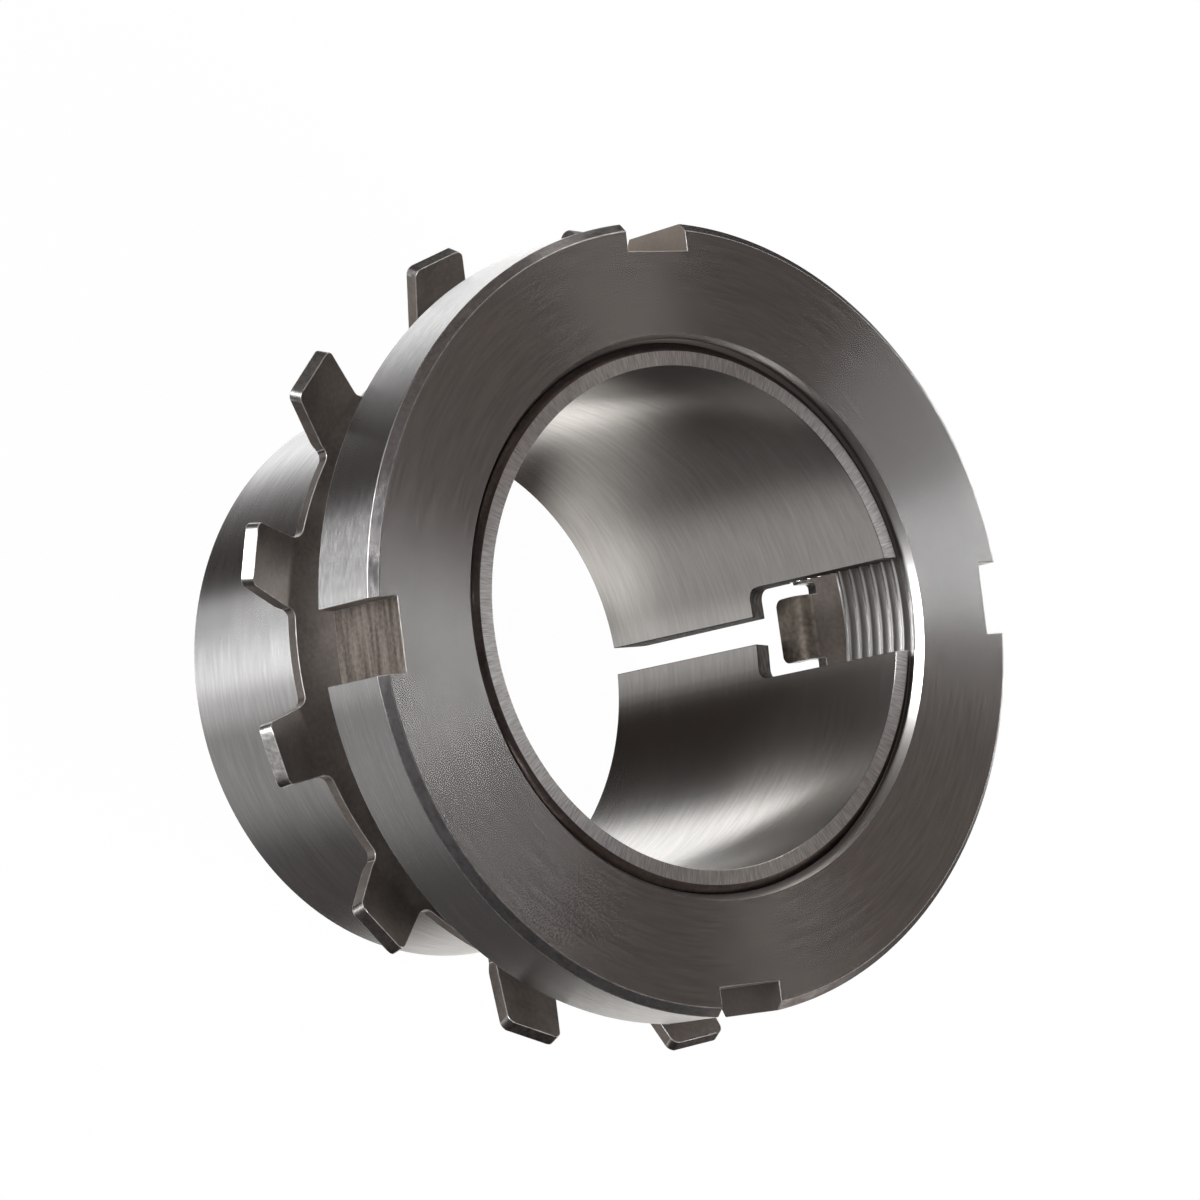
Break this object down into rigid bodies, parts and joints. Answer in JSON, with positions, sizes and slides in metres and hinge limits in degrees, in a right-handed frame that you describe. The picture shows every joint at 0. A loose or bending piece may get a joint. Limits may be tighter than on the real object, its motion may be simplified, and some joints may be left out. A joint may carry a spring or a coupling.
{
  "type": "bearing adapter sleeve",
  "caption": "Split tapered adapter sleeve for a plain shaft, with a threaded end, a keyway, a slotted lock nut and a tabbed lock washer.",
  "frame": {"origin": "centre of the bore at the sleeve's large end face", "axes": "+Z along the bore towards the threaded end and the nut; +Y through the keyway, the slit and the washer's tongue"},
  "size_m": [0.0744, 0.0741, 0.0422],
  "materials": {
    "sleeve_steel": "turned and ground, with fine lines round the axis",
    "nut_steel": "fine turned, with milled slots",
    "washer_steel": "dark rolled sheet with bright sheared edges"
  },
  "bodies": {
    "sleeve": {"sleeve": "sleeve_steel"},
    "washer": {"lock_washer": "washer_steel"},
    "nut": {"lock_nut": "nut_steel"}
  },
  "joints": [
    {"name": "washer_slide", "type": "slide", "parent": "sleeve", "child": "washer", "axis": [0, 0, 1], "range_m": [0, 0.01045]},
    {"name": "nut_turn", "type": "hinge", "parent": "washer", "child": "nut", "pos_m": [0, 0, 0.0367], "axis": [0, 0, 1], "range_deg": [0, 2508]}
  ],
  "couplings": [
    {"joint": "washer_slide", "follows": "nut_turn", "m_per_rad": 0.00023873}
  ]
}
